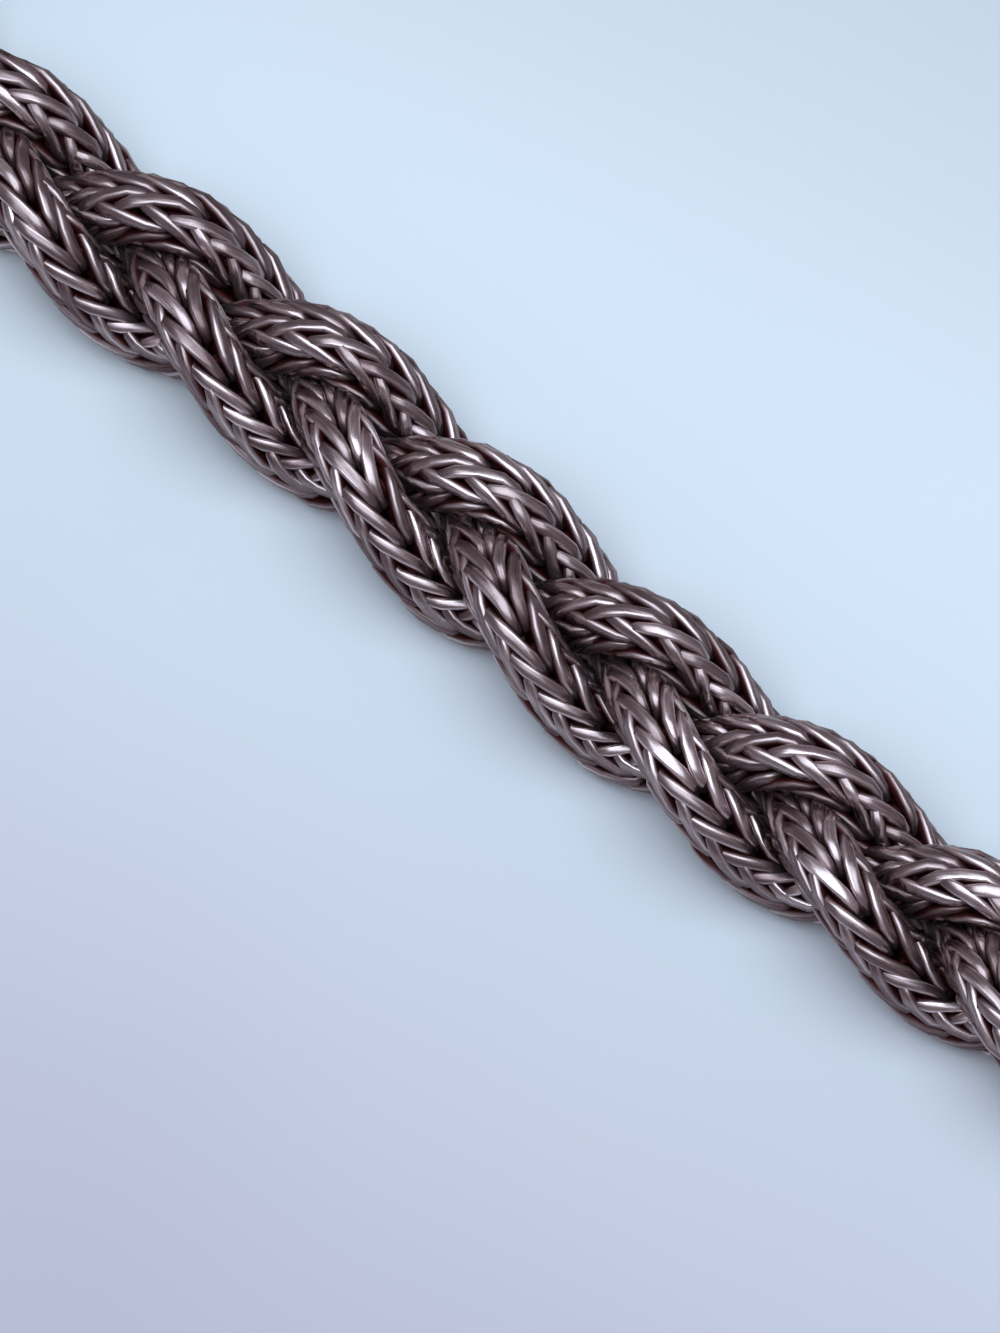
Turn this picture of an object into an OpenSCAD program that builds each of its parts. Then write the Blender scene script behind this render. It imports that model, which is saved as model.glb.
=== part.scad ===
// Braided bracelet: three chain strands plaited flat, two end caps and an S-shaped hook.
// It lies closed on its wide underside, with its long straight stretch towards -Y.

/* [Loop] */
// Length of the straight stretch at the front
front_run = 70; // [60:0.1:80]
// Length of the straight stretch that holds the end caps and the clasp
far_run = 30; // [29:0.1:40]
// Distance between the centre lines of those two stretches
loop_depth = 42.5; // [36:0.1:50]
// Radius of the four rounded corners, at the centre line
corner_r = 8.5; // [8.5:0.1:12]
// How far the front stretch wanders to each side of a straight line
sway = 0.69; // [0:0.01:1]

/* [Braid] */
// Times that one strand crosses another between the end caps
crossings = 37; // [33:2:37]
// How far a strand's centre line goes to each side
strand_reach = 2.72; // [2.72:0.01:2.8]
// How far a strand's centre line goes up and down
strand_rise = 1.98; // [1.98:0.01:2.02]
// Width of a strand across the corners of its solid
strand_d = 2.9; // [2.5:0.01:2.9]
// Sides of a strand's solid
strand_sides = 8; // [6:1:10]
// Rings of a strand's solid in each wave of the braid
rings_per_wave = 16; // [12:1:20]

/* [End caps] */
// Length of a cap along the braid
cap_len = 6; // [5:0.1:7]
// Width of a cap
cap_w = 8.7; // [8.7:0.1:10]
// Height of a cap, which lies flat on its underside
cap_h = 6.9; // [6.9:0.1:8]
// Thickness of a cap's walls
cap_wall = 0.45; // [0.3:0.05:0.5]
// Thickness of the plate that closes a cap
plate_t = 1; // [0.8:0.1:1.5]
// Radius of a cap's long edges
cap_edge_r = 2.2; // [1:0.1:2.5]
// Length of strand inside a cap
strand_tuck = 4.5; // [3:0.1:4.8]
// Share of the braid's width and height that is left where a cap grips it
grip = 0.86; // [0.85:0.01:0.87]

/* [Clasp] */
// Radius of each eye, at the middle of its wire
eye_r = 2; // [1.8:0.1:2.4]
// Thickness of the eyes' wire
eye_wire = 1.1; // [0.9:0.1:1.2]
// Radius of each bend of the hook, at the middle of its wire
hook_r = 2.6; // [2.4:0.1:2.6]
// Thickness of the hook's wire
hook_wire = 1.4; // [1.2:0.1:1.4]
// Angle that each bend of the hook goes through
hook_turn = 290; // [240:5:300]
// Width of the small ball at each end of the hook
hook_ball = 1.8; // [1.6:0.1:2]
// Gap between the hook and an eye
hook_gap = 0.15; // [0.1:0.05:0.3]

/* [Hidden] */
$fn = 48;
full_turn = 360;
strands = 3;
crossings_per_wave = 6;

// The braid stops swinging from side to side over this length before a cap
ease_len = 3.6;
// The braid narrows to the caps' grip over this length
grip_len = 2.4;
// How deep an eye's wire sinks into its cap, where it is soldered
solder_depth = 0.3;
// A step along the route, for finding the direction of a strand
tiny_step = 0.01;

// Heights and places along the far stretch, counted from the middle of the clasp
mid_h = cap_h / 2;
eye_x = 2 * hook_r + eye_r - (eye_wire + hook_wire) / 2 - hook_gap;
plate_x = eye_x + eye_r + eye_wire / 2 - solder_depth;
mouth_x = plate_x + cap_len;

// Legs of the route, walked anticlockwise from the clasp: length, and the angle turned on the way
corner_dx = (front_run - far_run) / 2;
corner_dy = loop_depth - 2 * corner_r;
side_run = norm([corner_dx, corner_dy]);
far_turn = atan2(corner_dy, corner_dx);
front_turn = full_turn / 2 - far_turn;
function arc_len(turn) = corner_r * turn * PI / (full_turn / 2);
LEGS = [
    [far_run / 2, 0],
    [arc_len(far_turn), far_turn],
    [side_run, 0],
    [arc_len(front_turn), front_turn],
    [front_run, 0],
    [arc_len(front_turn), front_turn],
    [side_run, 0],
    [arc_len(far_turn), far_turn],
    [far_run / 2, 0],
];
route_len = 2 * (far_run / 2 + arc_len(far_turn) + side_run + arc_len(front_turn)) + front_run;
route_start = [0, loop_depth, full_turn / 2];

// Where a walker on the route is after u more of one leg: x, y and heading
function walk(pose, leg, u) =
    let (turn = leg[1] * u / leg[0])
    let (r = leg[1] == 0 ? 0 : corner_r)
    let (cx = pose[0] - r * sin(pose[2]))
    let (cy = pose[1] + r * cos(pose[2]))
    leg[1] == 0
        ? [pose[0] + u * cos(pose[2]), pose[1] + u * sin(pose[2]), pose[2]]
        : [cx + r * sin(pose[2] + turn), cy - r * cos(pose[2] + turn), pose[2] + turn];

function pose_at(u, i = 0, pose = route_start) =
    u <= LEGS[i][0] || i == len(LEGS) - 1
        ? walk(pose, LEGS[i], u)
        : pose_at(u - LEGS[i][0], i + 1, walk(pose, LEGS[i], LEGS[i][0]));

// Sideways wander of the front stretch, nothing at its two ends
function wander(u) =
    let (w = (u - route_len / 2) / front_run)
    abs(w) > 0.5 ? 0 : -sway * sin(full_turn * w) * cos(full_turn / 2 * w);

// The braid runs from one cap's mouth to the other
braid_start = mouth_x;
braid_end = route_len - mouth_x;
wave_len = crossings_per_wave * (braid_end - braid_start - ease_len) / crossings;
phase_start = full_turn / 2 / strands - full_turn / 2 * crossings / crossings_per_wave;

// Distance that the braid's swing has gone after u, slowed to a stop at both caps
function eased(d) = d <= 0 ? 0 : d < ease_len ? d * d / (2 * ease_len) : d - ease_len / 2;
function swing(u) =
    u < route_len / 2
        ? eased(u - braid_start)
        : braid_end - braid_start - ease_len - eased(braid_end - u);
function smooth(t) = let (c = max(0, min(1, t))) c * c * (3 - 2 * c);
function squeeze(u) =
    grip + (1 - grip) * smooth(min(u - braid_start, braid_end - u) / grip_len);

// Centre line of strand k
function strand_point(k, u) =
    let (pose = pose_at(u))
    let (phase = phase_start + full_turn * (swing(u) / wave_len + k / strands))
    let (y = strand_reach * squeeze(u) * sin(phase) + wander(u))
    let (z = strand_rise * squeeze(u) * sin(2 * phase) + mid_h)
    [pose[0] - y * sin(pose[2]), pose[1] + y * cos(pose[2]), z];

function unit(v) = v / norm(v);
function strand_ring(k, u) =
    let (along = unit(strand_point(k, u + tiny_step) - strand_point(k, u - tiny_step)))
    let (side = unit(cross([0, 0, 1], along)))
    let (lift = cross(along, side))
    [for (j = [0:strand_sides - 1])
        let (a = full_turn * (j + 0.5) / strand_sides)
        strand_point(k, u) + strand_d / 2 * (cos(a) * side + sin(a) * lift)];

tube_start = braid_start - strand_tuck;
tube_len = braid_end - braid_start + 2 * strand_tuck;
tube_steps = round(tube_len / wave_len * rings_per_wave);
function strand_points(k) =
    [for (i = [0:tube_steps]) each strand_ring(k, tube_start + tube_len * i / tube_steps)];

// The origin is the middle of the loop's own box, on the surface it lies on
all_points = [for (k = [0:strands - 1]) each strand_points(k)];
all_x = [for (p = all_points) p[0]];
all_y = [for (p = all_points) p[1]];
shift_x = -(min(all_x) + max(all_x)) / 2;
shift_y = -(min(all_y) + loop_depth + cap_w / 2) / 2;

module to_origin() {
    translate([shift_x, shift_y, 0]) children();
}

// One strand: rings of points joined by facets, closed at both ends
module strand(k) {
    n = strand_sides;
    last = tube_steps * n;
    skin = [for (i = [0:tube_steps - 1], j = [0:n - 1])
        let (a = i * n + j)
        let (b = i * n + (j + 1) % n)
        each [[a, b + n, b], [a, a + n, b + n]]];
    caps = [[for (j = [0:n - 1]) j], [for (j = [n - 1:-1:0]) last + j]];
    color([0.52, 0.47, 0.5])
        to_origin()
            polyhedron(points = strand_points(k), faces = concat(skin, caps));
}

// A bar along X with four rounded long edges, centred across and in height
module rounded_bar(length, w, h, r) {
    translate([0, -w / 2 + r, -h / 2]) cube([length, w - 2 * r, h]);
    translate([0, -w / 2, -h / 2 + r]) cube([length, w, h - 2 * r]);
    for (sy = [-1, 1], sz = [-1, 1])
        translate([0, sy * (w / 2 - r), sz * (h / 2 - r)])
            rotate([0, 90, 0])
                cylinder(r = r, h = length);
}

// A ring of round wire about the Z axis, or the part of it that the angle gives
module wire_ring(r, wire, angle = 360) {
    rotate_extrude(angle = angle)
        translate([r, 0]) circle(d = wire);
}

// An end cap: a cup that opens towards +X, with its eye towards the clasp
module end_cap() {
    color([0.62, 0.58, 0.6]) {
        difference() {
            rounded_bar(cap_len, cap_w, cap_h, cap_edge_r);
            translate([plate_t, 0, 0])
                rounded_bar(cap_len, cap_w - 2 * cap_wall, cap_h - 2 * cap_wall, cap_edge_r - cap_wall);
        }
        translate([eye_x - plate_x, 0, 0])
            rotate([90, 0, 0])
                wire_ring(eye_r, eye_wire);
    }
}

module end_cap_a() {
    to_origin()
        translate([-plate_x, loop_depth, mid_h])
            rotate([0, 0, 180])
                end_cap();
}

module end_cap_b() {
    to_origin()
        translate([plate_x, loop_depth, mid_h]) end_cap();
}

// One half of the hook, a bend of round wire that ends in a small ball
module hook_bend() {
    translate([hook_r, 0, 0])
        rotate([0, 0, 180]) {
            wire_ring(hook_r, hook_wire, hook_turn);
            rotate([0, 0, hook_turn])
                translate([hook_r, 0, 0])
                    sphere(d = hook_ball);
        }
}

module clasp() {
    color([0.62, 0.58, 0.6])
        to_origin()
            translate([0, loop_depth, mid_h]) {
                hook_bend();
                rotate([0, 0, 180]) hook_bend();
            }
}

strand(0);  // strand_a
strand(1);  // strand_b
strand(2);  // strand_c
end_cap_a();
end_cap_b();
clasp();
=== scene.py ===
import math
from collections import namedtuple

import bmesh
import bpy
import numpy as np
from bpy.props import FloatProperty, FloatVectorProperty, IntProperty, PointerProperty
from mathutils import Matrix, Vector


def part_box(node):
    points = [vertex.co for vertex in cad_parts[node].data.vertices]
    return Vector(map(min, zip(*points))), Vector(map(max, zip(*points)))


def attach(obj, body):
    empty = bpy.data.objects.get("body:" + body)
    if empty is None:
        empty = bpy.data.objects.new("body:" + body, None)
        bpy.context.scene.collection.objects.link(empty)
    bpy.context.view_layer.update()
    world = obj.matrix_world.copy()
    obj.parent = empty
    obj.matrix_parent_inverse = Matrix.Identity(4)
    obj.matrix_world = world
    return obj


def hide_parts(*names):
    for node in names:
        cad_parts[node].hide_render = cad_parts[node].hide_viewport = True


bl_info = {
    "name": "Braided Chain Bracelet",
    "version": (1, 0, 0),
    "blender": (4, 5, 0),
    "location": "View3D > Sidebar > Bracelet",
    "description": "A bracelet plaited from three foxtail chains, with end caps, a hook and a studio",
    "category": "Object",
}

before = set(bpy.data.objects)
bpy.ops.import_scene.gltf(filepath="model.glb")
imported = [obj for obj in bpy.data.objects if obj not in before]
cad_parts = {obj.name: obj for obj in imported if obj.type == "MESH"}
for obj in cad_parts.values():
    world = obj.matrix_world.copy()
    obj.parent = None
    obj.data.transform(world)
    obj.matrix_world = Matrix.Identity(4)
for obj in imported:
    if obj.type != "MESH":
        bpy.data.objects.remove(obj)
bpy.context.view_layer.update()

MM = 0.001
FULL_TURN = 2 * math.pi
BODY = "root"
CHAIN_FINISH = "worn_chain_silver"
FITTING_FINISH = "worn_fitting_silver"
STRANDS = ("strand_a", "strand_b", "strand_c")
# The end caps, and the direction along X that each one's mouth faces
CAPS = {"end_cap_a": -1, "end_cap_b": 1}

# The end caps give the far stretch's place, the height of the braid's middle and where the braid starts
CAP_A_LOW, CAP_A_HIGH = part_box("end_cap_a")
CAP_B_LOW, CAP_B_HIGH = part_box("end_cap_b")
CLASP_X = (CAP_A_LOW.x + CAP_B_HIGH.x) / 2
FAR_Y = (CAP_A_LOW.y + CAP_A_HIGH.y) / 2
MID_Z = (CAP_A_LOW.z + CAP_A_HIGH.z) / 2
MOUTH_X = (CAP_B_HIGH.x - CAP_A_LOW.x) / 2


class LoopSizes(bpy.types.PropertyGroup):
    front_run: FloatProperty(
        name="Front Run", description="Length of the straight stretch at the front",
        default=70 * MM, unit="LENGTH")
    far_run: FloatProperty(
        name="Far Run", description="Length of the straight stretch that holds the clasp",
        default=30 * MM, unit="LENGTH")
    depth: FloatProperty(
        name="Depth", description="Distance between the centre lines of the two stretches",
        default=42.5 * MM, unit="LENGTH")
    corner_r: FloatProperty(
        name="Corner Radius", description="Radius of the loop's corners at the centre line",
        default=8.5 * MM, unit="LENGTH")
    sway: FloatProperty(
        name="Sway", description="How far the front stretch wanders to each side of a straight line",
        default=0.69 * MM, unit="LENGTH")


class BraidSizes(bpy.types.PropertyGroup):
    crossings: IntProperty(
        name="Crossings", description="Times that one strand crosses another between the caps", default=37)
    reach: FloatProperty(
        name="Reach", description="How far a strand's centre line goes to each side",
        default=2.41 * MM, unit="LENGTH")
    rise: FloatProperty(
        name="Rise", description="How far a strand's centre line goes up and down",
        default=1.8 * MM, unit="LENGTH")
    ease_len: FloatProperty(
        name="Ease", description="Length over which the braid's swing slows to a stop at a cap",
        default=3.6 * MM, unit="LENGTH")
    grip_len: FloatProperty(
        name="Grip Length", description="Length over which the braid narrows towards a cap",
        default=2.4 * MM, unit="LENGTH")
    grip: FloatProperty(
        name="Grip", description="Share of the braid's width and height that is left in a cap",
        default=0.86, subtype="FACTOR")
    tuck: FloatProperty(
        name="Tuck", description="Length of strand inside a cap", default=4.5 * MM, unit="LENGTH")


class ChainSizes(bpy.types.PropertyGroup):
    width: FloatProperty(
        name="Chain Width", description="Width of one chain over its links",
        default=3.11 * MM, unit="LENGTH")
    pitch: FloatProperty(
        name="Pitch", description="Distance from one V to the next in a column",
        default=1.86 * MM, unit="LENGTH")
    wire_width: FloatProperty(
        name="Wire Width", description="Width of a link's wire", default=0.67 * MM, unit="LENGTH")
    wire_thickness: FloatProperty(
        name="Wire Thickness", description="Thickness of a link's wire, pressed by its neighbours",
        default=0.56 * MM, unit="LENGTH")
    lean: FloatProperty(
        name="Lean", description="How far the top column of V's leans out where a strand swings out",
        default=math.radians(15), subtype="ANGLE")
    turn: FloatProperty(
        name="Turn", description="How far all columns are turned about the strand",
        default=math.radians(-11), subtype="ANGLE")
    unevenness: FloatProperty(
        name="Unevenness", description="How much the links differ from each other", default=1.0)
    seed: IntProperty(name="Seed", description="Picks the links' differences", default=11)


class CapSizes(bpy.types.PropertyGroup):
    length: FloatProperty(
        name="Cap Length", description="Length of a cap along the braid", default=6 * MM, unit="LENGTH")
    wall: FloatProperty(
        name="Wall", description="Thickness of a cap's walls", default=0.45 * MM, unit="LENGTH")
    plate: FloatProperty(
        name="Plate", description="Thickness of the plate that closes a cap",
        default=1 * MM, unit="LENGTH")
    corner_r: FloatProperty(
        name="Corner Radius", description="Radius of a cap's long edges", default=2.2 * MM, unit="LENGTH")
    edge_r: FloatProperty(
        name="Edge Radius", description="How far a cap's sharp edges are rounded off",
        default=0.2 * MM, unit="LENGTH")
    eye_r: FloatProperty(
        name="Eye Radius", description="Radius of a cap's eye, at the middle of its wire",
        default=2 * MM, unit="LENGTH")
    eye_wire: FloatProperty(
        name="Eye Wire", description="Thickness of the eye's wire", default=1.1 * MM, unit="LENGTH")


class FinishColours(bpy.types.PropertyGroup):
    silver: FloatVectorProperty(
        name="Silver", description="Colour of the worn wires", subtype="COLOR", default=(0.8, 0.67, 0.67))
    oxide: FloatVectorProperty(
        name="Oxide", description="Colour of the dark oxide between the wires", subtype="COLOR",
        default=(0.051, 0.008, 0.009))
    # Brown of the dirt and painted shade deep between the strands and in the fittings' corners
    dirt_and_shade_brown: FloatVectorProperty(
        name="Brown", description="Colour of the old dirt deep between the strands", subtype="COLOR",
        default=(0.048, 0.008, 0.007))
    floor: FloatVectorProperty(
        name="Floor", description="Colour of the floor", subtype="COLOR", default=(0.72, 0.785, 0.825))


# Crossings of the braid while one strand swings from side to side and back
CROSSINGS_PER_WAVE = 6
# How far along the braid a strand's nearest neighbour is looked for, and at every how many steps
NEIGHBOUR_REACH, NEIGHBOUR_STRIDE = 3.5 * MM, 4


def unit(v):
    return v / np.linalg.norm(v, axis=-1, keepdims=True)


def others(k):
    """Numbers of the strands that aren't strand k."""
    return [other for other in range(len(STRANDS)) if other != k]


def curve_at(s, length, curve):
    """Points or directions of a curve at the distances s along it."""
    return np.stack([np.interp(s, length, curve[:, i]) for i in range(3)], 1)


def loop_legs(loop):
    """The route's legs, walked from the clasp round to the clasp: length and angle turned on the way."""
    corner_dx = (loop.front_run - loop.far_run) / 2
    corner_dy = loop.depth - 2 * loop.corner_r
    side_run = math.hypot(corner_dx, corner_dy)
    far_turn = math.atan2(corner_dy, corner_dx)
    front_turn = FULL_TURN / 2 - far_turn
    half = [
        (loop.far_run / 2, 0),
        (loop.corner_r * far_turn, far_turn),
        (side_run, 0),
        (loop.corner_r * front_turn, front_turn),
    ]
    return half + [(loop.front_run, 0)] + half[::-1]


def follow_route(loop, u):
    """Place and heading at the distances u along the route, as arrays."""
    x, y, heading = np.zeros(len(u)), np.zeros(len(u)), np.zeros(len(u))
    leg_x, leg_y, leg_heading, leg_start = CLASP_X, FAR_Y, FULL_TURN / 2, 0.0
    for length, turn in loop_legs(loop):
        here = u >= leg_start
        d = np.append(u[here] - leg_start, length)
        h = leg_heading + turn * d / length
        if turn:
            px = leg_x + loop.corner_r * (np.sin(h) - math.sin(leg_heading))
            py = leg_y - loop.corner_r * (np.cos(h) - math.cos(leg_heading))
        else:
            px = leg_x + d * math.cos(leg_heading)
            py = leg_y + d * math.sin(leg_heading)
        x[here], y[here], heading[here] = px[:-1], py[:-1], h[:-1]
        leg_x, leg_y, leg_heading, leg_start = px[-1], py[-1], h[-1], leg_start + length
    return x, y, heading


class Braid:
    """Centre lines and frames of the strands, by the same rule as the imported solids."""

    # Distance between the points of a centre line, along the route
    STEP = 0.04 * MM

    def __init__(self, loop, braid, chain):
        self.loop, self.braid, self.chain = loop, braid, chain
        self.route_len = sum(length for length, turn in loop_legs(loop))
        self.start, self.end = MOUTH_X, self.route_len - MOUTH_X
        self.wave_len = CROSSINGS_PER_WAVE * (self.end - self.start - braid.ease_len) / braid.crossings
        self.u = np.arange(self.start - braid.tuck, self.end + braid.tuck, self.STEP)
        self.points = [self.centre_line(k)[0] for k in range(len(STRANDS))]

    def swing(self):
        """Distance that the swing from side to side has gone, slowed to a stop at both caps."""
        ease = self.braid.ease_len

        def eased(d):
            d = np.maximum(d, 0)
            return np.where(d < ease, d * d / (2 * ease), d - ease / 2)

        swung = self.end - self.start - ease
        near = self.u < self.route_len / 2
        return np.where(near, eased(self.u - self.start), swung - eased(self.end - self.u))

    def centre_line(self, k):
        """Points of strand k's centre line, and its phase."""
        braid, u = self.braid, self.u
        x, y, heading = follow_route(self.loop, u)
        w = (u - self.route_len / 2) / self.loop.front_run
        swayed = -self.loop.sway * np.sin(FULL_TURN * w) * np.cos(FULL_TURN / 2 * w)
        wander = np.where(abs(w) > 0.5, 0, swayed)
        t = np.clip(np.minimum(u - self.start, self.end - u) / braid.grip_len, 0, 1)
        squeeze = braid.grip + (1 - braid.grip) * t * t * (3 - 2 * t)
        phase_start = FULL_TURN / CROSSINGS_PER_WAVE - FULL_TURN / 2 * braid.crossings / CROSSINGS_PER_WAVE
        phase = phase_start + FULL_TURN * (self.swing() / self.wave_len + k / len(STRANDS))
        across = braid.reach * squeeze * np.sin(phase) + wander
        z = MID_Z + braid.rise * squeeze * np.sin(2 * phase)
        return np.stack([x - across * np.sin(heading), y + across * np.cos(heading), z], 1), phase

    def strand_frame(self, k):
        """Distance along strand k, its points, and the directions of its columns 0 and 1."""
        points, phase = self.centre_line(k)
        steps = np.linalg.norm(np.diff(points, axis=0), axis=1)
        length = np.concatenate([[0], np.cumsum(steps)])
        along = unit(np.gradient(points, axis=0))
        side = unit(np.cross([0, 0, 1], along))
        lift = np.cross(along, side)
        lean = (self.chain.turn - self.chain.lean * np.sin(phase))[:, None]
        top = np.cos(lean) * lift - np.sin(lean) * side
        right = -np.sin(lean) * lift - np.cos(lean) * side
        return length, points, top, right

    def neighbour(self, k, other):
        """For each point of strand k's centre line: direction to the nearest point of the other strand's
        centre line, and how far it is."""
        window = int(NEIGHBOUR_REACH / self.STEP)
        best = np.full(len(self.u), np.inf)
        where = np.zeros_like(self.points[k])
        index = np.arange(len(self.u))
        for ahead in range(-window, window + 1, NEIGHBOUR_STRIDE):
            there = self.points[other][np.clip(index + ahead, 0, len(self.u) - 1)]
            distance = np.linalg.norm(there - self.points[k], axis=1)
            closer = distance < best
            best[closer], where[closer] = distance[closer], there[closer]
        return unit(where - self.points[k]), best


# One arm of a link, from the middle of the chain to the top of its ear. Height above the chain's middle and
# side from the middle of the arm's column are in half chain widths, growth is in pitches along the chain,
# width and flat are shares of the wire's width, face turns the wire's outer side from outwards (0) to the
# V's tip (90), tilt turns it from the column's middle to the side, and worn is how bright it is rubbed.
ArmPoint = namedtuple("ArmPoint", "height side growth width flat face tilt worn")
ARM = (
    ArmPoint(0.00, 0.175, -0.32, 0.80, 0.30, 90, 0, 0),
    ArmPoint(0.57, 0.175, -0.27, 0.84, 0.35, 68, 0, 0.45),
    ArmPoint(0.725, 0.18, -0.10, 0.88, 0.45, 34, 0, 0.9),
    ArmPoint(0.80, 0.225, 0.18, 0.98, 0.56, 6, 4, 1),
    ArmPoint(0.785, 0.395, 0.60, 1.00, 0.60, 0, 14, 1),
    ArmPoint(0.74, 0.56, 0.96, 1.00, 0.60, 0, 28, 1),
    ArmPoint(0.61, 0.65, 1.25, 0.83, 0.50, 0, 42, 0.7),
    ArmPoint(0.38, 0.58, 1.47, 0.58, 0.30, 0, 55, 0.1),
    ArmPoint(0.28, 0.42, 1.82, 0.54, 0.30, 0, 45, 0),
    ArmPoint(0.25, 0.00, 2.26, 0.60, 0.30, 0, 0, 0),
)
# A link has this many arms, two in each of its two V's
LINK_ARMS = 4
# How much of a link's own differences each point of an arm takes
ARM_GIVE = (0, 0.5, 1, 1, 1, 0.9, 0.7, 0.4, 0.1, 0)
# The most that links differ: an arm's height and side in half chain widths, its growth in pitches, its
# roll in degrees, the share of its rubbing that is missing, and a link's place in pitches
HEIGHT_GIVE, SIDE_GIVE, GROWTH_GIVE, ROLL_GIVE, WEAR_GIVE, PLACE_GIVE = 0.03, 0.05, 0.1, 14, 0.5, 0.03

# Half of the wire's section, from the edge of its worn flat face round to its inner side. Up is in half
# thicknesses, and worn is how bright it is rubbed. Across goes from the flat's edge (0) to the wire's side
# (1) on the top, and is in half widths on the side.
SectionPoint = namedtuple("SectionPoint", "across up worn")
SECTION_TOP = (SectionPoint(0, 1, 1), SectionPoint(0.55, 0.74, 0.85))
SECTION_SIDE = (SectionPoint(1, 0.1, 0.05), SectionPoint(0.84, -0.55, 0), SectionPoint(0.36, -0.97, 0))

# Share of the rubbing that the braid's sides get, and how far up or down a wire faces where the rest of
# the rubbing begins and where it is full
SIDE_RUB, RUB_FROM, RUB_TO = 0.55, 0.0, 0.7
# Distances along the braid at which the next strands' centre lines are looked for
CLEAR_OFFSETS = np.linspace(-2, 2, 9) * MM
# How much a wire's large faces count in its shading against its small ones, where 50 is even
FACE_SHADING = 65


def link_rings():
    """A link's rings in order round its closed wire: row of ARM, side of the ear and side of the V."""
    last = len(ARM) - 1
    rings = []
    for ear_side in (1, -1):
        rings += [(row, ear_side, ear_side) for row in range(last + 1)]
        rings += [(row, ear_side, -ear_side) for row in range(last - 1, 0, -1)]
    return rings


def wire_section(chain, table):
    """The wire's section at each ring: its points across and up, how worn they are, and their places
    across in half widths."""
    flat, whole = table.flat, np.ones(len(table.flat))
    half = [(flat + p.across * (1 - flat), p) for p in SECTION_TOP]
    half += [(p.across * whole, p) for p in SECTION_SIDE]
    section = half + [(-share, p) for share, p in half[::-1]]
    shares = np.stack([share for share, p in section], -1)
    across = shares * (table.width * chain.wire_width / 2)[:, None]
    up = np.array([p.up for share, p in section]) * chain.wire_thickness / 2
    worn = np.array([p.worn for share, p in section])
    return across, up, worn, shares


def link_surfaces(chain, n_links, rng):
    """All links in their own space, as arrays of links by rings by section points: the points (up their
    column, across it and along the chain), how worn they are, and how far across the wire they sit, in
    half widths."""
    radius = chain.width / 2
    row, ear, vee = np.array(link_rings()).T
    arm = np.where(ear > 0, 0, 2) + np.where(vee > 0, 0, 1)
    table = ArmPoint(*np.array(ARM)[row].T)
    give = np.array(ARM_GIVE)[row]

    def differences(size):
        most = size * chain.unevenness
        each = rng.uniform(-most, most, (n_links, LINK_ARMS))
        return each[:, arm] * give

    height = radius * (table.height + differences(HEIGHT_GIVE))
    side = radius * (table.side + differences(SIDE_GIVE))
    growth = chain.pitch * (table.growth + differences(GROWTH_GIVE))
    roll = np.radians(differences(ROLL_GIVE))[..., None]
    rubbed = table.worn * (1 - abs(differences(WEAR_GIVE)))

    path = np.stack([ear * height, vee * side, -growth], -1)
    along = unit(np.roll(path, -1, 1) - np.roll(path, 1, 1))
    face, tilt = np.radians(table.face)[:, None], np.radians(table.tilt)
    outwards = np.stack([ear * np.cos(tilt), vee * np.sin(tilt), np.zeros_like(tilt)], -1)
    up = np.cos(face) * outwards + np.sin(face) * np.array([0, 0, 1])
    up = unit(up - (up * along).sum(-1, keepdims=True) * along)
    across = np.cross(along, up)
    up, across = np.cos(roll) * up + np.sin(roll) * across, np.cos(roll) * across - np.sin(roll) * up

    section_across, section_up, section_worn, shares = wire_section(chain, table)
    sideways = section_across[..., None] * across[:, :, None]
    upwards = section_up[:, None] * up[:, :, None]
    points = path[:, :, None] + sideways + upwards
    wear = rubbed[..., None] * section_worn
    return points, wear, np.broadcast_to(shares, wear.shape)


def press_aside(braid, k, s, length, offset):
    """Offsets from strand k's centre line, drawn in so that they end halfway to each neighbour's."""
    radius = braid.chain.width / 2
    for other in others(k):
        towards, distance = braid.neighbour(k, other)
        room = np.interp(s, length, np.clip(distance / 2 / radius, 0, 1))
        towards = curve_at(s, length, towards)
        pressed = np.maximum((offset * towards).sum(1), 0) * (1 - room)
        offset = offset - pressed[:, None] * towards
    return offset


def clearance(braid, k, u, points):
    """Distance from each of strand k's points to the nearest centre line of another strand."""
    nearest = np.full(len(points), np.inf)
    for other in others(k):
        for ahead in CLEAR_OFFSETS:
            there = curve_at(u + ahead, braid.u, braid.points[other])
            nearest = np.minimum(nearest, np.linalg.norm(points - there, axis=1))
    return nearest


def link_faces(n_links, rings, sides):
    """Faces between neighbouring rings, all round each link's closed wire."""
    link = np.arange(n_links)[:, None, None] * rings * sides
    ring = np.arange(rings)[None, :, None]
    point = np.arange(sides)[None, None, :]
    next_ring, next_point = (ring + 1) % rings, (point + 1) % sides
    return np.stack([
        link + ring * sides + point,
        link + ring * sides + next_point,
        link + next_ring * sides + next_point,
        link + next_ring * sides + point,
    ], -1).reshape(-1, 4)


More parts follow.
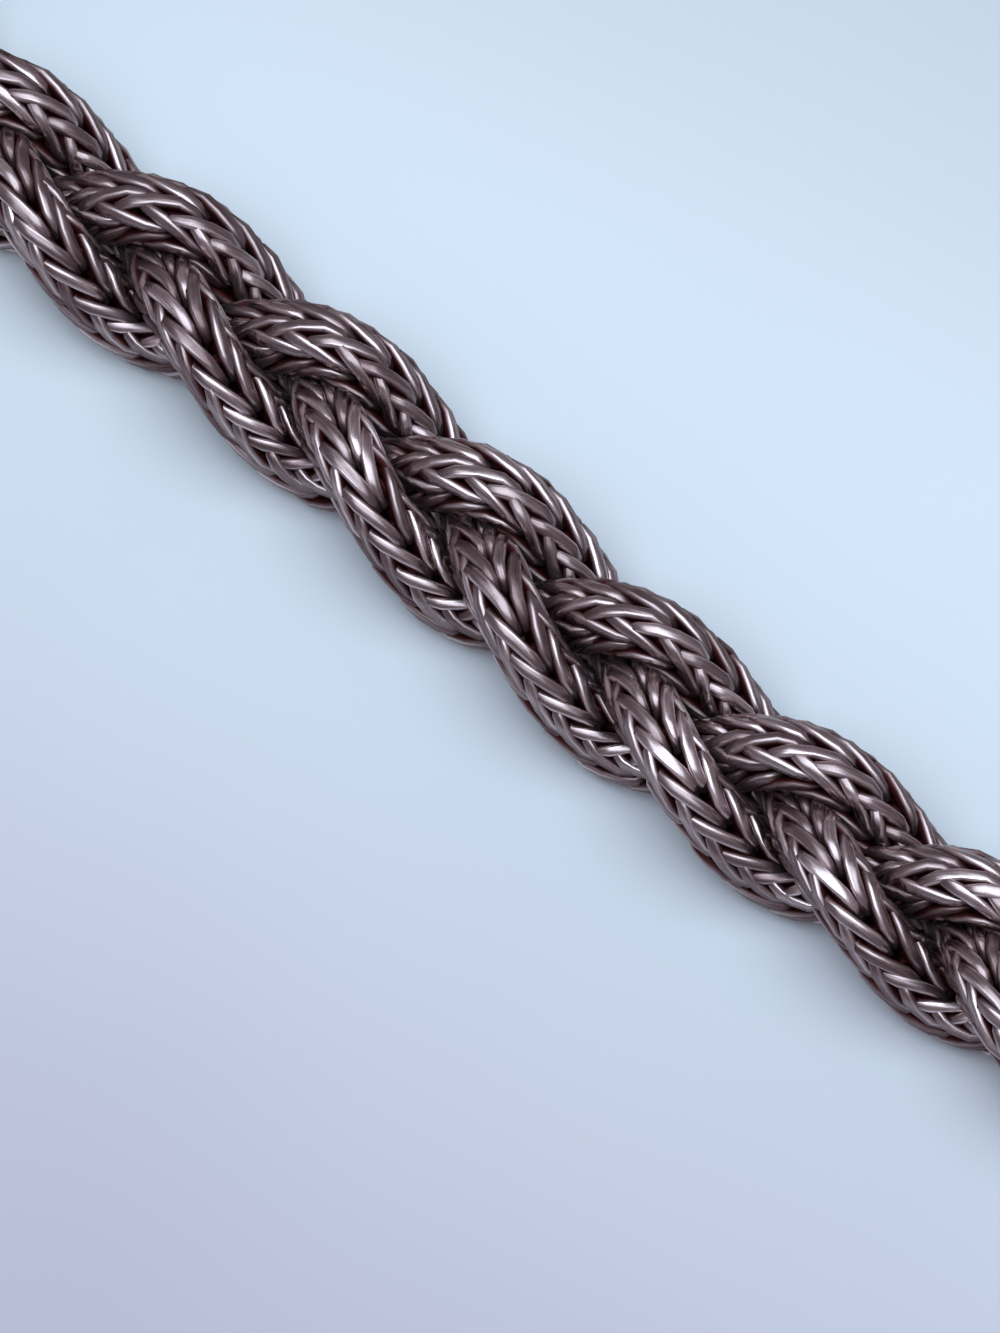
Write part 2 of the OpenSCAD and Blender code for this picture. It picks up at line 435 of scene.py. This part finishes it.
def strand_mesh(braid, chain, k):
    """Joined mesh of strand k's links, laid along its centre line."""
    length, centre, top, right = braid.strand_frame(k)
    spacing = chain.pitch / 2
    reach_back = ARM[-1].growth * chain.pitch + chain.wire_width
    reach_on = -ARM[0].growth * chain.pitch + chain.wire_width
    n_links = int((length[-1] - reach_back - reach_on) / spacing) + 1
    rng = np.random.default_rng(chain.seed + k)
    local, wear, across_wire = link_surfaces(chain, n_links, rng)
    tips = reach_back + spacing * np.arange(n_links)
    tips = tips + rng.uniform(-PLACE_GIVE, PLACE_GIVE, n_links) * chain.pitch * chain.unevenness

    # Every second link is turned a quarter, into the other two columns
    odd = (np.arange(n_links) % 2 == 1)[:, None, None]
    up, across, along = local[..., 0], local[..., 1], local[..., 2]
    a = np.where(odd, -across, up).reshape(-1, 1)
    b = np.where(odd, up, across).reshape(-1, 1)
    s = np.clip(tips[:, None, None] + along, length[0], length[-1]).ravel()
    offset = a * curve_at(s, length, top) + b * curve_at(s, length, right)
    offset = press_aside(braid, k, s, length, offset)
    points = curve_at(s, length, centre) + offset
    points[:, 2] = np.maximum(points[:, 2], 0)

    rub = np.clip((abs(unit(offset)[:, 2]) - RUB_FROM) / (RUB_TO - RUB_FROM), 0, 1)
    masks = {
        "wear": wear.ravel() * (SIDE_RUB + (1 - SIDE_RUB) * rub),
        "clear": clearance(braid, k, np.interp(s, length, braid.u), points) / (chain.width / 2),
        "across": across_wire.ravel(),
    }
    mesh = bpy.data.meshes.new(STRANDS[k] + "_links")
    mesh.from_pydata(points.tolist(), [], link_faces(*local.shape[:3]).tolist())
    for name, values in masks.items():
        attribute = mesh.attributes.new(name, "FLOAT", "POINT")
        attribute.data.foreach_set("value", values.astype(np.float32))
    return mesh


# The Mix node's colour sockets have the same names as its number sockets, so they are taken by place
MIX_FACTOR, MIX_FIRST, MIX_SECOND, MIX_RESULT = 0, 6, 7, 2


def node_group(name, inputs, outputs):
    """A new shader node group with its sockets, and its input and output nodes."""
    group = bpy.data.node_groups.new(name, "ShaderNodeTree")
    for socket, kind, default in inputs:
        made = group.interface.new_socket(socket, in_out="INPUT", socket_type="NodeSocket" + kind)
        if default is not None:
            made.default_value = default
    for socket, kind in outputs:
        group.interface.new_socket(socket, in_out="OUTPUT", socket_type="NodeSocket" + kind)
    return group, group.nodes.new("NodeGroupInput"), group.nodes.new("NodeGroupOutput")


def add_node(tree, kind, feeds=None, **values):
    """A node with the given settings, and its inputs fed with values or linked to other sockets."""
    node = tree.nodes.new("ShaderNode" + kind)
    for name, value in values.items():
        setattr(node, name, value)
    for name, source in (feeds or {}).items():
        socket = node.inputs[name]
        if isinstance(source, bpy.types.NodeSocket):
            tree.links.new(source, socket)
        else:
            socket.default_value = source
    return node


def blend_colours(tree, factor, first, second):
    feeds = {MIX_FACTOR: factor, MIX_FIRST: first, MIX_SECOND: second}
    return add_node(tree, "Mix", feeds, data_type="RGBA").outputs[MIX_RESULT]


def calculate(tree, operation, *values):
    return add_node(tree, "Math", dict(enumerate(values)), operation=operation).outputs[0]


def calculate_vector(tree, operation, first, second):
    return add_node(tree, "VectorMath", {0: first, 1: second}, operation=operation)


def add_noise(tree, place, scale, detail, roughness=0.5):
    feeds = {"Vector": place, "Scale": scale, "Detail": detail, "Roughness": roughness}
    return add_node(tree, "TexNoise", feeds).outputs["Fac"]


def ramp_value(tree, value, low, high, to_low=0.0, to_high=1.0):
    """Turns low to high into to_low to to_high, smoothly and no further."""
    node = add_node(tree, "MapRange", {
        "Value": value, "From Min": low, "From Max": high, "To Min": to_low, "To Max": to_high,
    }, interpolation_type="SMOOTHSTEP")
    return node.outputs["Result"]


# How fine the finish's patterns are, in spots to a metre
MOTTLE_SCALE, CLOUD_SCALE, STREAK_SCALE = 1400.0, 260.0, 700.0
# How far the streaks' pattern moves over half a wire's width, which draws it out along the wire
STREAK_SLANT = (3.5 * MM, 2.5 * MM, 1.5 * MM)
# How much the mottling and the streaks change the wear
MOTTLE_WEAR, STREAK_WEAR = 0.16, 0.06
# How much the dirt and painted shade, the streaks and the mottling add to the roughness, and what comes off
# it again
DIRT_AND_SHADE_ROUGH, STREAK_ROUGH, MOTTLE_ROUGH, ROUGH_LESS = 0.35, 0.06, 0.14, 0.02
# Dirt and painted shade between the strands are thickest where the next strand's centre line is nearer than
# the first, in half chain widths, and there is none where it is further than the second
DIRT_AND_SHADE_NEAR, DIRT_AND_SHADE_FAR = 0.72, 1.15
# The middle of a wire's worn face is painted darker, to this share of its edges' wear, so its edges show as
# painted bright rims
PAINTED_RIM_FACE_SHARE = 0.59
# Ramps of the finish: low and high, and what they turn into
STREAK_RAMP = (0.3, 0.7, -1.0, 1.0)
PAINTED_RIM_RAMP = (0.4, 0.72, PAINTED_RIM_FACE_SHARE, 1.0)
BARE_RAMP = (0.05, 0.9)
CLOUD_RAMP = (0.35, 0.75, 0.0, 0.3)
DIRT_AND_SHADE_RAMP = (DIRT_AND_SHADE_NEAR, DIRT_AND_SHADE_FAR, 0.85, 0.0)
POLISH_RAMP = (0.05, 0.7, 0.5, 0.24)
METAL_RAMP = (0.0, 0.4, 0.6, 1.0)


def tarnish_group():
    """Dark oxide that wear takes off again, painted bright rims along a wire's face, and brown dirt and
    painted shade where Clear is small: colour, roughness and metal from masks and mottling.
    """
    group, given, out = node_group(
        "Tarnish",
        [
            ("Wear", "Float", 1.0),
            ("Clear", "Float", 1.0),
            ("Across", "Float", 0.0),
            ("Satin", "Float", 0.0),
            ("Silver", "Color", None),
            ("Oxide", "Color", None),
            ("Brown", "Color", None),
            ("Vector", "Vector", None),
        ],
        [("Color", "Color"), ("Roughness", "Float"), ("Metal", "Float")],
    )
    place, across = given.outputs["Vector"], given.outputs["Across"]
    mottle = add_noise(group, place, MOTTLE_SCALE, detail=4.0, roughness=0.6)
    cloud = add_noise(group, place, CLOUD_SCALE, detail=2.0)
    slant = add_node(group, "VectorMath", {0: STREAK_SLANT, "Scale": across}, operation="SCALE")
    streaky = calculate_vector(group, "ADD", place, slant.outputs["Vector"]).outputs["Vector"]
    streaks = add_noise(group, streaky, STREAK_SCALE, detail=3.0, roughness=0.6)
    streak = ramp_value(group, streaks, *STREAK_RAMP)

    # Painted highlight: a wire's face is darker in its middle than at its edges, so that its edges show as
    # bright rims
    painted_rim_highlight = ramp_value(group, calculate(group, "ABSOLUTE", across), *PAINTED_RIM_RAMP)
    rubbed = calculate(group, "MULTIPLY", given.outputs["Wear"], painted_rim_highlight)
    shift = calculate(group, "MULTIPLY_ADD", mottle, MOTTLE_WEAR, -MOTTLE_WEAR / 2)
    streaked = calculate(group, "MULTIPLY_ADD", streak, STREAK_WEAR, rubbed)
    bare = ramp_value(group, calculate(group, "ADD", streaked, shift), *BARE_RAMP)
    base = blend_colours(group, bare, given.outputs["Oxide"], given.outputs["Silver"])
    clouded = blend_colours(group, ramp_value(group, cloud, *CLOUD_RAMP), base, given.outputs["Oxide"])
    # Dirt and painted shade: brown where Clear is small, which is near another strand's centre line or in a
    # fitting's closed-in corner
    dirt_and_shade = ramp_value(group, given.outputs["Clear"], *DIRT_AND_SHADE_RAMP)
    group.links.new(blend_colours(group, dirt_and_shade, clouded, given.outputs["Brown"]), out.inputs["Color"])

    polished = ramp_value(group, given.outputs["Wear"], *POLISH_RAMP)
    satin = calculate(group, "ADD", polished, given.outputs["Satin"])
    dirt_shade_roughened = calculate(group, "MULTIPLY_ADD", dirt_and_shade, DIRT_AND_SHADE_ROUGH, satin)
    brushed = calculate(group, "MULTIPLY_ADD", streak, STREAK_ROUGH, dirt_shade_roughened)
    rough = calculate(group, "MULTIPLY_ADD", mottle, MOTTLE_ROUGH, brushed)
    group.links.new(calculate(group, "SUBTRACT", rough, ROUGH_LESS), out.inputs["Roughness"])
    group.links.new(ramp_value(group, bare, *METAL_RAMP), out.inputs["Metal"])
    return group


# How fine the dents' and scratches' patterns are, in spots to a metre, and how the scratches lie
DENT_SCALE, SCRATCH_SCALE = 1900.0, 4200.0
SCRATCH_TURN, SCRATCH_STRETCH = (0.3, 0.5, 0.7), (1.0, 5.0, 3.0)


def handling_group():
    """Small dents and fine scratches from years of wear, as a height."""
    group, given, out = node_group(
        "Handling Marks",
        [("Vector", "Vector", None), ("Dents", "Float", 1.0), ("Scratches", "Float", 1.0)],
        [("Height", "Float")],
    )
    place = given.outputs["Vector"]
    dents = add_noise(group, place, DENT_SCALE, detail=1.5)
    stretched = add_node(group, "Mapping", {
        "Vector": place, "Rotation": SCRATCH_TURN, "Scale": SCRATCH_STRETCH}).outputs["Vector"]
    scratches = add_noise(group, stretched, SCRATCH_SCALE, detail=2.0, roughness=0.6)
    low = calculate(group, "MULTIPLY", dents, given.outputs["Dents"])
    high = calculate(group, "MULTIPLY", scratches, given.outputs["Scratches"])
    group.links.new(calculate(group, "ADD", low, high), out.inputs["Height"])
    return group


# Tarnished silver shines less towards its edges than clean metal
EDGE_TINT = (0.75, 0.66, 0.62, 1)
# How much of the dents and scratches there is, and the strength and depth of the relief they make
DENTS, SCRATCHES, RELIEF_STRENGTH, RELIEF_DEPTH = 0.35, 0.3, 0.5, 0.02 * MM


def silver_material(name, tarnish, marks, colours):
    """Worn silver: its node tree, and its tarnish node, whose masks are left to be fed."""
    material = bpy.data.materials.new(name)
    material.use_nodes = True
    tree = material.node_tree
    shader = tree.nodes["Principled BSDF"]
    place = add_node(tree, "TexCoord").outputs["Object"]
    finish = add_node(tree, "Group", node_tree=tarnish)
    for socket, colour in (("Silver", colours.silver), ("Oxide", colours.oxide), ("Brown", colours.dirt_and_shade_brown)):
        finish.inputs[socket].default_value = (*colour, 1)
    tree.links.new(place, finish.inputs["Vector"])
    relief = add_node(tree, "Group", node_tree=marks)
    tree.links.new(place, relief.inputs["Vector"])
    relief.inputs["Dents"].default_value = DENTS
    relief.inputs["Scratches"].default_value = SCRATCHES
    bump = add_node(tree, "Bump", {
        "Height": relief.outputs["Height"], "Strength": RELIEF_STRENGTH, "Distance": RELIEF_DEPTH})
    tree.links.new(finish.outputs["Color"], shader.inputs["Base Color"])
    tree.links.new(finish.outputs["Roughness"], shader.inputs["Roughness"])
    tree.links.new(finish.outputs["Metal"], shader.inputs["Metallic"])
    tree.links.new(bump.outputs["Normal"], shader.inputs["Normal"])
    shader.inputs["Specular Tint"].default_value = EDGE_TINT
    shader.inputs["Specular IOR Level"].default_value = 0.3
    return tree, finish


def chain_silver(tarnish, marks, colours):
    """The chains' silver, with the masks that their links' meshes hold."""
    tree, finish = silver_material(CHAIN_FINISH, tarnish, marks, colours)
    for mask in ("Wear", "Clear", "Across"):
        reader = add_node(tree, "Attribute", attribute_name=mask.lower())
        tree.links.new(reader.outputs["Fac"], finish.inputs[mask])


# How bright the fittings' faces are rubbed, and how satin they are
FITTING_WEAR, FITTING_SATIN = 0.52, 0.05
# Width of the fittings' bare edges, and how far dirt and painted shade reach out of their corners
FITTING_EDGE, CORNER_REACH = 0.5 * MM, 1 * MM
# From how alike the rounded and the own normal are to how near the edge is, and from how open a place is
# to how clear it is of dirt and painted shade
EDGE_RAMP = (0.85, 1.0, 1.0, 0.0)
CORNER_RAMP = (0.3, 0.9, DIRT_AND_SHADE_NEAR, DIRT_AND_SHADE_FAR)
# Rays that feel for edges and corners from each place
FEELING_RAYS = 8


def edge_wear(tree):
    """How near an outer edge the surface is, from 0 on a face to 1 on the edge."""
    rounded = add_node(tree, "Bevel", {"Radius": FITTING_EDGE}, samples=FEELING_RAYS).outputs["Normal"]
    own = add_node(tree, "NewGeometry").outputs["Normal"]
    alike = calculate_vector(tree, "DOT_PRODUCT", rounded, own).outputs["Value"]
    return ramp_value(tree, alike, *EDGE_RAMP)


def fitting_silver(tarnish, marks, colours):
    """The end caps' and the hook's silver: satin, with bare edges, and dirt and painted shade in the
    corners.
    """
    tree, finish = silver_material(FITTING_FINISH, tarnish, marks, colours)
    # All of a fitting is as bare as a wire's edges, without the painted darker middle that makes a wire's
    # edges painted bright rims
    finish.inputs["Across"].default_value = 1.0
    finish.inputs["Satin"].default_value = FITTING_SATIN
    worn = calculate(tree, "MULTIPLY_ADD", edge_wear(tree), 1 - FITTING_WEAR, FITTING_WEAR)
    tree.links.new(worn, finish.inputs["Wear"])
    # Painted shade: how closed in a corner is, found by ambient occlusion, browns it as dirt and painted
    # shade
    open_air = add_node(tree, "AmbientOcclusion", {"Distance": CORNER_REACH}, samples=FEELING_RAYS)
    tree.links.new(ramp_value(tree, open_air.outputs["AO"], *CORNER_RAMP), finish.inputs["Clear"])


def settings():
    return bpy.context.scene.bracelet


class BRACELET_OT_finishes(bpy.types.Operator):
    """Makes the silver materials"""

    bl_idname = "bracelet.finishes"
    bl_label = "Make Finishes"

    def execute(self, context):
        tarnish, marks = tarnish_group(), handling_group()
        chain_silver(tarnish, marks, settings().colours)
        fitting_silver(tarnish, marks, settings().colours)
        return {"FINISHED"}


class BRACELET_OT_strands(bpy.types.Operator):
    """Builds the three foxtail chains from links, along the braid's centre lines"""

    bl_idname = "bracelet.strands"
    bl_label = "Add Strands"

    def execute(self, context):
        chain = settings().chain
        braid = Braid(settings().loop, settings().braid, chain)
        for k, node in enumerate(STRANDS):
            mesh = strand_mesh(braid, chain, k)
            piece = bpy.data.objects.new(mesh.name, mesh)
            context.collection.objects.link(piece)
            bpy.ops.object.select_all(action="DESELECT")
            piece.select_set(True)
            context.view_layer.objects.active = piece
            bpy.ops.object.shade_smooth()
            bpy.ops.object.modifier_add(type="WEIGHTED_NORMAL")
            piece.modifiers[-1].weight = FACE_SHADING
            bpy.ops.object.modifier_apply(modifier=piece.modifiers[-1].name)
            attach(piece, BODY)
            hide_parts(node)
            piece.data.materials.append(bpy.data.materials[CHAIN_FINISH])
        return {"FINISHED"}


# Facets of a cap's long edges, of its rounded-off sharp edges, round its eye and round the eye's wire
CORNER_STEPS, EDGE_STEPS, EYE_STEPS, WIRE_STEPS = 12, 3, 48, 16
# Edges sharper than this are rounded off, and shading is smooth below it
SHARP_ANGLE = math.radians(40)
# The mouth's face is the one whose normal goes at least this much its way
FACING = 0.9


def add_cup(low, high, mouth, cap):
    """A cup with rounded long edges, open on the side along X that mouth gives."""
    mouth_x = high.x if mouth > 0 else low.x
    middle = (mouth_x - mouth * cap.length / 2, FAR_Y, MID_Z)
    size = (cap.length, high.y - low.y, high.z - low.z)
    bpy.ops.object.select_all(action="DESELECT")
    bpy.ops.mesh.primitive_cube_add(size=1, location=middle, scale=size)
    cup = bpy.context.object
    bpy.ops.object.transform_apply(location=True, rotation=True, scale=True)
    bpy.ops.object.mode_set(mode="EDIT")
    bpy.ops.mesh.select_mode(type="EDGE")
    bpy.ops.mesh.select_all(action="DESELECT")
    mesh = bmesh.from_edit_mesh(cup.data)
    for edge in mesh.edges:
        start, end = (corner.co for corner in edge.verts)
        edge.select_set(abs(end.x - start.x) > cap.length / 2)
    bpy.ops.mesh.bevel(offset=cap.corner_r, segments=CORNER_STEPS, affect="EDGES")
    bpy.ops.mesh.select_mode(type="FACE")
    bpy.ops.mesh.select_all(action="DESELECT")
    mesh = bmesh.from_edit_mesh(cup.data)
    for face in mesh.faces:
        face.select_set(face.normal.x * mouth > FACING)
    bmesh.update_edit_mesh(cup.data)
    bpy.ops.mesh.inset(thickness=cap.wall)
    depth = cap.length - cap.plate
    bpy.ops.mesh.extrude_region_move(TRANSFORM_OT_translate={"value": (-mouth * depth, 0, 0)})
    bpy.ops.object.mode_set(mode="OBJECT")
    bpy.ops.object.modifier_add(type="BEVEL")
    rounding = cup.modifiers[-1]
    rounding.width, rounding.segments = cap.edge_r, EDGE_STEPS
    rounding.limit_method, rounding.angle_limit = "ANGLE", SHARP_ANGLE
    bpy.ops.object.modifier_apply(modifier=rounding.name)
    return cup


def add_eye(low, high, mouth, cap):
    """The ring of wire that is soldered to a cap's closed end. It is left selected."""
    reach = cap.eye_r + cap.eye_wire / 2
    eye_x = low.x + reach if mouth > 0 else high.x - reach
    bpy.ops.object.select_all(action="DESELECT")
    bpy.ops.mesh.primitive_torus_add(
        location=(eye_x, FAR_Y, MID_Z), rotation=(FULL_TURN / 4, 0, 0),
        major_radius=cap.eye_r, minor_radius=cap.eye_wire / 2,
        major_segments=EYE_STEPS, minor_segments=WIRE_STEPS)
    bpy.ops.object.transform_apply(location=True, rotation=True, scale=True)


class BRACELET_OT_fittings(bpy.types.Operator):
    """Builds the end caps with their eyes, and gives the hook its finish"""

    bl_idname = "bracelet.fittings"
    bl_label = "Add Fittings"

    def execute(self, context):
        for node, mouth in CAPS.items():
            low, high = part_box(node)
            cup = add_cup(low, high, mouth, settings().cap)
            add_eye(low, high, mouth, settings().cap)
            cup.select_set(True)
            context.view_layer.objects.active = cup
            bpy.ops.object.join()
            bpy.ops.object.shade_smooth_by_angle(angle=SHARP_ANGLE)
            cup.name = node + "_silver"
            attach(cup, BODY)
            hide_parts(node)
            cup.data.materials.append(bpy.data.materials[FITTING_FINISH])
        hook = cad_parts["clasp"]
        hook.data.materials.clear()
        hook.data.materials.append(bpy.data.materials[FITTING_FINISH])
        return {"FINISHED"}


# The floor's card: its size, and the size and strength of its faint clouds
FLOOR_SIZE, CARD_SCALE, CARD_RAMP = 1600 * MM, 40.0, (0.3, 0.7, -0.02, 0.02)
# Painted light falloff: it turns darker and more lilac in this direction, and a little darker the other
# way, between these distances from the middle and to these shares of its colour
PAINTED_FALLOFF_DIRECTION = (0.22, -0.993, 0)
PAINTED_FALLOFF_RAMP, PAINTED_FALLOFF_TINT = (5 * MM, 72 * MM), (0.69, 0.6, 0.66)
PAINTED_FAR_FALLOFF_RAMP, PAINTED_FAR_FALLOFF_TINT = (8 * MM, -18 * MM), (0.89, 0.86, 0.87)


def tinted(colour, tint):
    return (*(part * share for part, share in zip(colour, tint)), 1)


def floor_material(colour):
    material = bpy.data.materials.new("floor_card")
    material.use_nodes = True
    tree = material.node_tree
    shader = tree.nodes["Principled BSDF"]
    place = add_node(tree, "TexCoord").outputs["Object"]
    cloudy = ramp_value(tree, add_noise(tree, place, CARD_SCALE, detail=2.0), *CARD_RAMP)
    # Painted light falloff: darker and more lilac along one direction, a little darker the other way, with
    # faint clouds
    forward = calculate_vector(tree, "DOT_PRODUCT", place, PAINTED_FALLOFF_DIRECTION).outputs["Value"]
    painted_falloff_and_clouds = calculate(tree, "ADD", ramp_value(tree, forward, *PAINTED_FALLOFF_RAMP), cloudy)
    near = blend_colours(tree, painted_falloff_and_clouds, (*colour, 1), tinted(colour, PAINTED_FALLOFF_TINT))
    faded = blend_colours(tree, ramp_value(tree, forward, *PAINTED_FAR_FALLOFF_RAMP), near, tinted(colour, PAINTED_FAR_FALLOFF_TINT))
    tree.links.new(faded, shader.inputs["Base Color"])
    shader.inputs["Roughness"].default_value = 0.7
    shader.inputs["Specular IOR Level"].default_value = 0.3
    return material


def add_floor(colour):
    bpy.ops.object.select_all(action="DESELECT")
    bpy.ops.mesh.primitive_plane_add(size=FLOOR_SIZE, location=(0, 0, 0))
    floor = bpy.context.object
    floor.name = "floor"
    floor.data.materials.append(floor_material(colour))


# A broad softbox almost straight above the front stretch: where it hangs from there, in metres, its width
# and length, its power in watts and its colour
KEY_OFFSET = Vector((0.02, -0.025, 0.5))
KEY_SIZE = (0.58, 0.58)
KEY_POWER = 2.78
KEY_COLOUR = (0.815, 0.98, 1.12)
# The room's own light, and its strength from the horizon to straight above
ROOM_COLOUR = (0.98, 0.885, 1.0, 1)
ROOM_RAMP = (0.0, 1.0, 0.24, 0.34)


def room_world():
    world = bpy.data.worlds.new("room")
    world.use_nodes = True
    tree = world.node_tree
    direction = add_node(tree, "TexCoord").outputs["Generated"]
    height = add_node(tree, "SeparateXYZ", {"Vector": direction}).outputs["Z"]
    backdrop = tree.nodes["Background"]
    backdrop.inputs["Color"].default_value = ROOM_COLOUR
    tree.links.new(ramp_value(tree, height, *ROOM_RAMP), backdrop.inputs["Strength"])
    return world


def add_softbox(target):
    data = bpy.data.lights.new("key", "AREA")
    data.shape = "RECTANGLE"
    data.size, data.size_y = KEY_SIZE
    data.energy = KEY_POWER
    data.color = KEY_COLOUR
    lamp = bpy.data.objects.new("key", data)
    lamp.location = target + KEY_OFFSET
    lamp.rotation_euler = (-KEY_OFFSET).to_track_quat("-Z", "Y").to_euler()
    bpy.context.collection.objects.link(lamp)


# Where the camera stands: it looks down on the front stretch, 62 degrees above the floor. The target is
# given from the middle of the front stretch.
CAMERA_TARGET = Vector((4.914, -3.703, 0)) * MM
CAMERA_RIGHT = Vector((0.7201, 0.6908, -0.0653))
CAMERA_UP = Vector((-0.5906, 0.6596, 0.4649))
CAMERA_DISTANCE, CLIP_START = 1500 * MM, 10 * MM
PICTURE_HEIGHT = 59.24 * MM
# Height of the camera's sensor, which is given in millimetres like its lens
SENSOR = 36


def add_camera(target):
    data = bpy.data.cameras.new("camera")
    data.sensor_fit = "VERTICAL"
    data.sensor_height = SENSOR
    data.lens = SENSOR * CAMERA_DISTANCE / PICTURE_HEIGHT
    data.clip_start = CLIP_START
    camera = bpy.data.objects.new("camera", data)
    back = CAMERA_RIGHT.cross(CAMERA_UP)
    turn = Matrix((CAMERA_RIGHT, CAMERA_UP, back)).transposed()
    camera.matrix_world = Matrix.Translation(target + back * CAMERA_DISTANCE) @ turn.to_4x4()
    bpy.context.collection.objects.link(camera)
    return camera


class BRACELET_OT_stage(bpy.types.Operator):
    """Adds the floor, the softbox, the room's light and the camera"""

    bl_idname = "bracelet.stage"
    bl_label = "Add Stage"

    def execute(self, context):
        add_floor(settings().colours.floor)
        target = Vector((CLASP_X, FAR_Y - settings().loop.depth, MID_Z)) + CAMERA_TARGET
        add_softbox(target)
        context.scene.world = room_world()
        context.scene.camera = add_camera(target)
        context.scene.view_settings.view_transform = "Standard"
        return {"FINISHED"}


class BraceletSettings(bpy.types.PropertyGroup):
    loop: PointerProperty(type=LoopSizes)
    braid: PointerProperty(type=BraidSizes)
    chain: PointerProperty(type=ChainSizes)
    cap: PointerProperty(type=CapSizes)
    colours: PointerProperty(type=FinishColours)


class BRACELET_PT_panel(bpy.types.Panel):
    """Sizes, colours and steps of the bracelet"""

    bl_idname = "BRACELET_PT_panel"
    bl_label = "Bracelet"
    bl_space_type = "VIEW_3D"
    bl_region_type = "UI"
    bl_category = "Bracelet"

    def draw(self, context):
        bracelet = context.scene.bracelet
        for group in (bracelet.loop, bracelet.braid, bracelet.chain, bracelet.cap, bracelet.colours):
            box = self.layout.box()
            for name in group.__annotations__:
                box.prop(group, name)
        for operator in STEPS:
            self.layout.operator(operator.bl_idname)


STEPS = (BRACELET_OT_finishes, BRACELET_OT_strands, BRACELET_OT_fittings, BRACELET_OT_stage)
CLASSES = (
    LoopSizes, BraidSizes, ChainSizes, CapSizes, FinishColours, BraceletSettings, BRACELET_PT_panel, *STEPS)


def register():
    for cls in CLASSES:
        bpy.utils.register_class(cls)
    bpy.types.Scene.bracelet = PointerProperty(type=BraceletSettings)


def unregister():
    del bpy.types.Scene.bracelet
    for cls in reversed(CLASSES):
        bpy.utils.unregister_class(cls)


def main():
    register()
    bpy.ops.bracelet.finishes()
    bpy.ops.bracelet.strands()
    bpy.ops.bracelet.fittings()
    bpy.ops.bracelet.stage()


if __name__ == "__main__":
    main()
